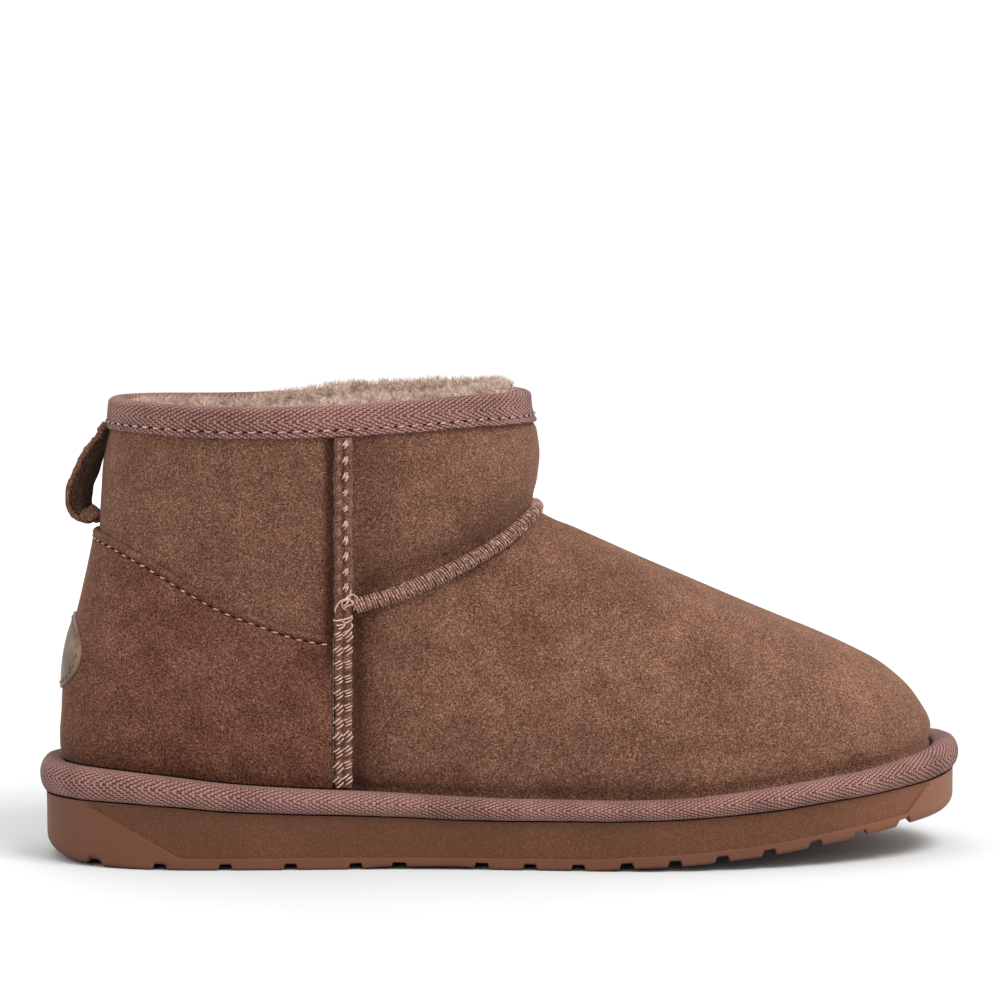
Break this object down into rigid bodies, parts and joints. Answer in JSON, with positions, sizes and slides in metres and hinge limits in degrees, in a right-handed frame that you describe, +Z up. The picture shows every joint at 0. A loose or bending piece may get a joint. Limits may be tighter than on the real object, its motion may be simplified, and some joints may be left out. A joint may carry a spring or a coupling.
{
  "type": "sheepskin boot",
  "caption": "Ankle-height sheepskin boot for the right foot: suede skin with raised seams, fleece lining, bound collar, back pull loop and foam sole.",
  "frame": {"origin": "on the floor, under the middle of the boot's bounding box", "axes": "+X from heel to toe, -Y towards the outer side of the right foot, +Z up"},
  "size_m": [0.2862, 0.1132, 0.1455],
  "materials": {
    "suede": "napped suede, matt, brown",
    "fleece": "clipped sheep's wool, beige brown",
    "foam_sole": "moulded foam rubber, fine leather grain on the side, matt",
    "twill_tape": "herringbone twill tape, matt",
    "seam_thread": "thick overcast sewing thread over a suede welt",
    "patch_leather": "smooth tan leather, plain"
  },
  "bodies": {
    "root": {"outsole": "foam_sole", "insole": "fleece", "upper": "suede", "fleece_lining": "fleece", "heel_counter": "suede", "heel_patch": "patch_leather", "side_seam_outer": "seam_thread", "side_seam_inner": "seam_thread", "vamp_seam": "seam_thread", "collar_binding": "twill_tape", "sole_binding": "twill_tape", "pull_loop": "suede"}
  },
  "joints": []
}
